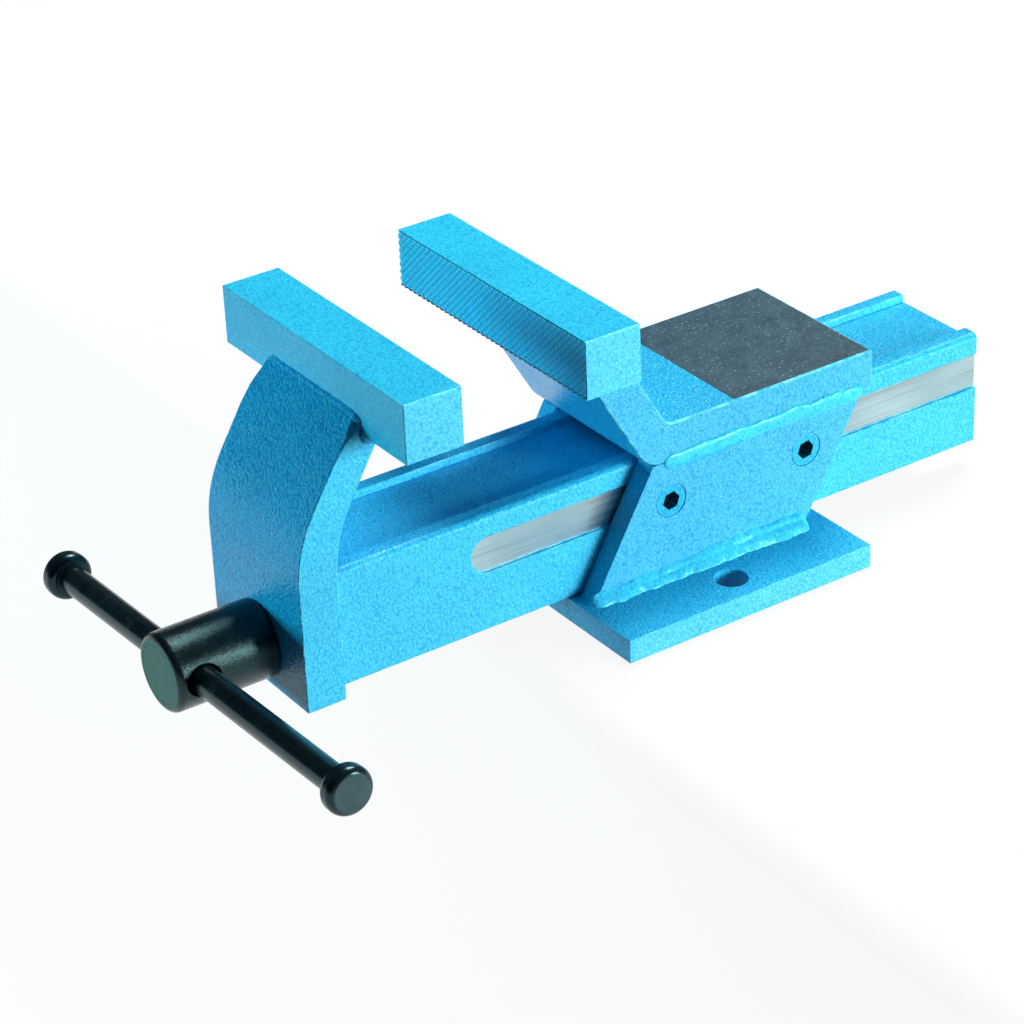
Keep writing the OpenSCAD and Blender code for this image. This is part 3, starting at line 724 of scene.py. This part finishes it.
def blob(bm, centre, radii, lean, seed):
    """Adds a lumpy drop of weld with three radii, leaning about Y."""
    around, along = DROP_SEGMENTS
    made = bmesh.ops.create_uvsphere(bm, u_segments=around, v_segments=along, radius=1.0)
    turn = Matrix.Rotation(lean, 3, "Y")
    for vert in made["verts"]:
        swell = 1 + DROP_SWELL * noise.noise(vert.co * DROP_NOISE + Vector((seed, seed, seed)))
        vert.co = centre + turn @ Vector([c * r * swell for c, r in zip(vert.co, radii)])


def add_weld(node, bm, material):
    """Makes a weld's mesh stand for its node."""
    bmesh.ops.recalc_face_normals(bm, faces=bm.faces)
    add_piece("painted_" + node, bm, node, [material], smooth_angle=60, flat_faces=False)


def fillet_curve(fullness=1.4):
    """Fillet between two legs, straight at fullness 1 and round at 2, rooted a little inside the metal."""
    arc = []
    for i in range(FILLET_STEPS + 1):
        turn = math.pi / 2 * i / FILLET_STEPS
        arc.append((math.cos(turn) ** (2 / fullness), math.sin(turn) ** (2 / fullness)))
    return [(-FILLET_ROOT, -FILLET_ROOT), (1.0, -FILLET_ROOT)] + arc + [(-FILLET_ROOT, 1.0)]


def crown_curve():
    """Low crown over a seam, with its root a little inside the metal."""
    turns = [math.pi * (i / CROWN_STEPS - 0.5) for i in range(CROWN_STEPS + 1)]
    arc = [(math.cos(t), math.sin(t)) for t in turns]
    depth, half_width = CROWN_ROOT
    return [(depth, -half_width)] + arc + [(depth, half_width)]


def welds():
    """Welds of the cheeks' feet, the saddle and both jaws."""
    for side, sign in (("right", -1), ("left", 1)):
        low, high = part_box(side + "_foot_weld")
        inner = low.y if sign > 0 else high.y
        bm = bmesh.new()
        bead(bm, Vector((low.x, inner, low.z)), Vector((high.x, inner, low.z)),
             Vector((0, sign * (high.y - low.y), 0)), Vector((0, 0, high.z - low.z)),
             fillet_curve(fullness=1.2), 1.7 * sign, sizes=(0.60, 0.90), seam=0.12)
        add_weld(side + "_foot_weld", bm, weld_enamel)
        low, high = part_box(side + "_saddle_weld")
        inner = low.y if sign > 0 else high.y
        middle = (low.z + high.z) / 2
        bm = bmesh.new()
        bead(bm, Vector((low.x, inner, middle)), Vector((high.x, inner, middle)),
             Vector((0, sign * SADDLE_CROWN * (high.y - low.y), 0)), Vector((0, 0, (high.z - low.z) / 2)),
             crown_curve(), 5.3 * sign, lumps=1.5)
        add_weld(side + "_saddle_weld", bm, weld_enamel)
    jaw_weld()
    low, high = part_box("fixed_jaw_weld")
    bm = bmesh.new()
    bead(bm, Vector((low.x, low.y, low.z)), Vector((low.x, high.y, low.z)),
         Vector((high.x - low.x, 0, 0)), Vector((0, 0, high.z - low.z)), fillet_curve(), 12.9, lumps=0.5)
    add_weld("fixed_jaw_weld", bm, weld_enamel)


def jaw_weld():
    """Weld between the arm's top edge and the jaw, with a drop at each end and a bead under the jaw."""
    low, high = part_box("moving_jaw_weld")
    jaw_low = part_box("moving_jaw_block")[0]
    bm = bmesh.new()
    reach = high.y - CORNER_ACROSS
    bead(bm, Vector((high.x, -reach, low.z)), Vector((high.x, reach, low.z)),
         Vector((-JAW_WELD_LEGS[0] * WELD_LEDGE, 0, 0)), Vector((0, 0, JAW_WELD_LEGS[1] * (high.z - low.z))),
         fillet_curve(fullness=1.2), 9.1, taper=SHORT_TAPER, lumps=0.8)
    for sign, seed, drop in ((-1, 2.4, 1.0), (1, 6.8, 0.6)):
        blob(bm, Vector((high.x + DROP_BACK, sign * reach, low.z - DROP_DOWN)),
             [drop * r for r in DROP_RADII], ARM_LEAN, seed)
        start, end = (Vector((high.x + x, sign * high.y, jaw_low.z)) for x in UNDER_BEAD)
        bead(bm, start, end, Vector((0, sign * UNDER_BEAD_LEGS[0], 0)), Vector((0, 0, -UNDER_BEAD_LEGS[1])),
             fillet_curve(), seed, taper=SHORT_TAPER)
    # Weld in the darker front copy: painted shade
    add_weld("moving_jaw_weld", bm, shaded_front_enamel)


def spindle():
    """Spindle with a right-hand trapezoidal thread behind its collar."""
    low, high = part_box("spindle")
    collar_low, collar_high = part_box("retaining_collar")
    axis = (low.z + high.z) / 2
    start = (collar_low.x + collar_high.x) / 2
    bm = cad_copy("spindle")
    rear = [v for v in bm.verts if v.co.x > collar_high.x + MM]
    crest = max(math.hypot(v.co.y, v.co.z - axis) for v in rear)
    cut_plane(bm, (start, 0, 0), (1, 0, 0), clear_outer=True)
    fill_holes(bm)
    front_faces = set(bm.faces)
    turns = math.ceil((high.x - start) / THREAD_LEAD) + 3
    half_crest = THREAD_CREST / 2
    profile = [(-half_crest, 0), (half_crest, 0), (0.5 - half_crest, 1), (0.5 + half_crest, 1)]
    rows = []
    for k in range(THREAD_STEPS * turns + 1):
        angle = 2 * math.pi * k / THREAD_STEPS
        row = []
        for phase, depth in profile:
            x = start + THREAD_LEAD * (k / THREAD_STEPS + phase - 1.5)
            radius = min(crest - THREAD_DEPTH * depth, crest - max(0.0, x - high.x + THREAD_CHAMFER))
            row.append(bm.verts.new((x, radius * math.cos(angle), axis + radius * math.sin(angle))))
        rows.append(row)
    for k in range(THREAD_STEPS * (turns - 1)):
        ends = [rows[k + THREAD_STEPS][0], rows[k + THREAD_STEPS + 1][0]]
        near = rows[k] + ends[:1]
        far = rows[k + 1] + ends[1:]
        for p in range(len(profile)):
            bm.faces.new((near[p], near[p + 1], far[p + 1], far[p]))
    for place, side in ((start - THREAD_LAP, -1), (high.x, 1)):
        thread = [f for f in bm.faces if f not in front_faces]
        thread_verts = list({v for f in thread for v in f.verts})
        thread_edges = list({e for f in thread for e in f.edges})
        geometry = thread_verts + thread_edges + thread
        bmesh.ops.bisect_plane(
            bm, geom=geometry, plane_co=(place, 0, 0), plane_no=(side, 0, 0), clear_outer=True)
    loose = [v for v in bm.verts if not v.link_faces]
    bmesh.ops.delete(bm, geom=loose, context="VERTS")
    fill_holes(bm)
    bmesh.ops.recalc_face_normals(bm, faces=bm.faces)
    for face in bm.faces:
        face.material_index = 0 if face.calc_center_median().x < start - MM else 1
    add_piece("threaded_spindle", bm, "spindle", [head_oxide, plain_steel], smooth_angle=30)


def turned_parts():
    """CAD nodes whose shape is right as it is."""
    for names, material in (
        (("handle_bar",), oxide),
        (("left_knob", "right_knob"), knob_oxide),
        (("retaining_collar", "collar_pin", "nut_screws"), plain_steel),
        (("spindle_nut", "thrust_washer"), bronze),
    ):
        for name in names:
            nodes[name].data.materials.clear()
            nodes[name].data.materials.append(material)


def pale_floor():
    """Pale material that keeps shadows, and throws little light back on the vise."""
    floor_finish = Finish("pale_floor", Roughness=0.8)
    grain = floor_finish.noise(30, detail=4)
    dim = floor_finish.ramp(grain, FLOOR_DIM)
    pale = floor_finish.ramp(grain, FLOOR_PALE)
    tree = floor_finish.tree
    path = tree.nodes.new("ShaderNodeLightPath").outputs
    seen = floor_finish.math("MAXIMUM", path["Is Camera Ray"], path["Is Glossy Ray"])
    seen = floor_finish.math("MAXIMUM", seen, path["Is Transmission Ray"])
    floor_finish.set(Base_Color=floor_finish.mix(seen, dim, pale))
    glow = tree.nodes.new("ShaderNodeEmission")
    glow.inputs["Strength"].default_value = 1.0
    blend = tree.nodes.new("ShaderNodeMixShader")
    rise = tree.nodes.new("ShaderNodeSeparateXYZ")
    tree.links.new(floor_finish.place, rise.inputs[0])
    share = floor_finish.span(
        rise.outputs["Z"], FLOOR_GLOW, BENCH_GLOW, from_low=-BENCH_HEIGHT, from_high=0.0)
    tree.links.new(floor_finish.math("MULTIPLY", seen, share), blend.inputs[0])
    tree.links.new(floor_finish.shader.outputs[0], blend.inputs[1])
    tree.links.new(glow.outputs[0], blend.inputs[2])
    tree.links.new(blend.outputs[0], tree.nodes["Material Output"].inputs["Surface"])
    return floor_finish.material


def bench_and_floor():
    """Bench with a rounded front edge, running down in a cove to the floor."""
    arc = [math.pi / 2 * i / FLOOR_ARC_STEPS for i in range(FLOOR_ARC_STEPS + 1)]
    edge = [(BENCH_EDGE_X + BENCH_ROUNDING * (1 - math.sin(t)), BENCH_ROUNDING * (math.cos(t) - 1))
            for t in arc]
    cove = [(BENCH_EDGE_X - COVE_RADIUS * (1 - math.cos(t)), COVE_RADIUS * (1 - math.sin(t)) - BENCH_HEIGHT)
            for t in arc]
    outline = [(FLOOR_REACH, 0.0)] + edge + cove + [(-FLOOR_REACH, -BENCH_HEIGHT)]
    bm = bmesh.new()
    rows = [[bm.verts.new((x, y, z)) for x, z in outline] for y in (-FLOOR_REACH, FLOOR_REACH)]
    for k in range(len(outline) - 1):
        bm.faces.new((rows[0][k], rows[0][k + 1], rows[1][k + 1], rows[1][k]))
    bmesh.ops.recalc_face_normals(bm, faces=bm.faces)
    mesh = bpy.data.meshes.new("floor")
    bm.to_mesh(mesh)
    bm.free()
    mesh.shade_smooth()
    mesh.materials.append(pale_floor())
    floor = bpy.data.objects.new("floor", mesh)
    scene.collection.objects.link(floor)


def dim_room():
    """World that is a little brighter overhead."""
    world = bpy.data.worlds.new("room")
    scene.world = world
    world.use_nodes = True
    room = world.node_tree
    direction = room.nodes.new("ShaderNodeTexCoord").outputs["Generated"]
    split = room.nodes.new("ShaderNodeSeparateXYZ")
    room.links.new(direction, split.inputs[0])
    rise = room.nodes.new("ShaderNodeMapRange")
    rise.inputs["To Min"].default_value = ROOM_HORIZON
    rise.inputs["To Max"].default_value = ROOM_ZENITH
    room.links.new(split.outputs["Z"], rise.inputs["Value"])
    room.links.new(rise.outputs[0], room.nodes["Background"].inputs["Strength"])
    room.nodes["Background"].inputs["Color"].default_value = (*ROOM_COLOUR, 1.0)


def lamps():
    """Soft lamps round the vise; those that aren't mirrored don't show in its reflections."""
    for name, settings in LIGHTS.items():
        lamp = bpy.data.lights.new(name, "AREA")
        lamp.shape = "RECTANGLE"
        lamp.size, lamp.size_y = settings["size"]
        lamp.energy = settings["watts"]
        lamp.color = settings["colour"]
        holder = bpy.data.objects.new(name, lamp)
        towards = Vector(settings["towards"]).normalized()
        holder.location = LIGHT_AIM + towards * settings["distance"]
        holder.visible_glossy = settings["mirrored"]
        holder.rotation_mode = "QUATERNION"
        holder.rotation_quaternion = (-towards).to_track_quat("-Z", "Y")
        scene.collection.objects.link(holder)


def camera():
    """Camera that sees what the photo's camera saw."""
    data = bpy.data.cameras.new("photo_camera")
    data.lens = CAMERA_LENS
    data.sensor_width = CAMERA_SENSOR
    data.clip_start, data.clip_end = CAMERA_CLIP
    holder = bpy.data.objects.new("photo_camera", data)
    right = CAMERA_RIGHT.normalized()
    back = right.cross(CAMERA_UP).normalized()
    up = back.cross(right)
    turn = Matrix((right, up, back)).transposed()
    holder.matrix_world = Matrix.Translation(CAMERA_AT) @ turn.to_4x4()
    scene.collection.objects.link(holder)
    scene.camera = holder


painted_plates()
anvil()
jaws()
front_arm()
head()
slide_bars()
guide_screws()
welds()
spindle()
turned_parts()
bench_and_floor()
dim_room()
lamps()
camera()
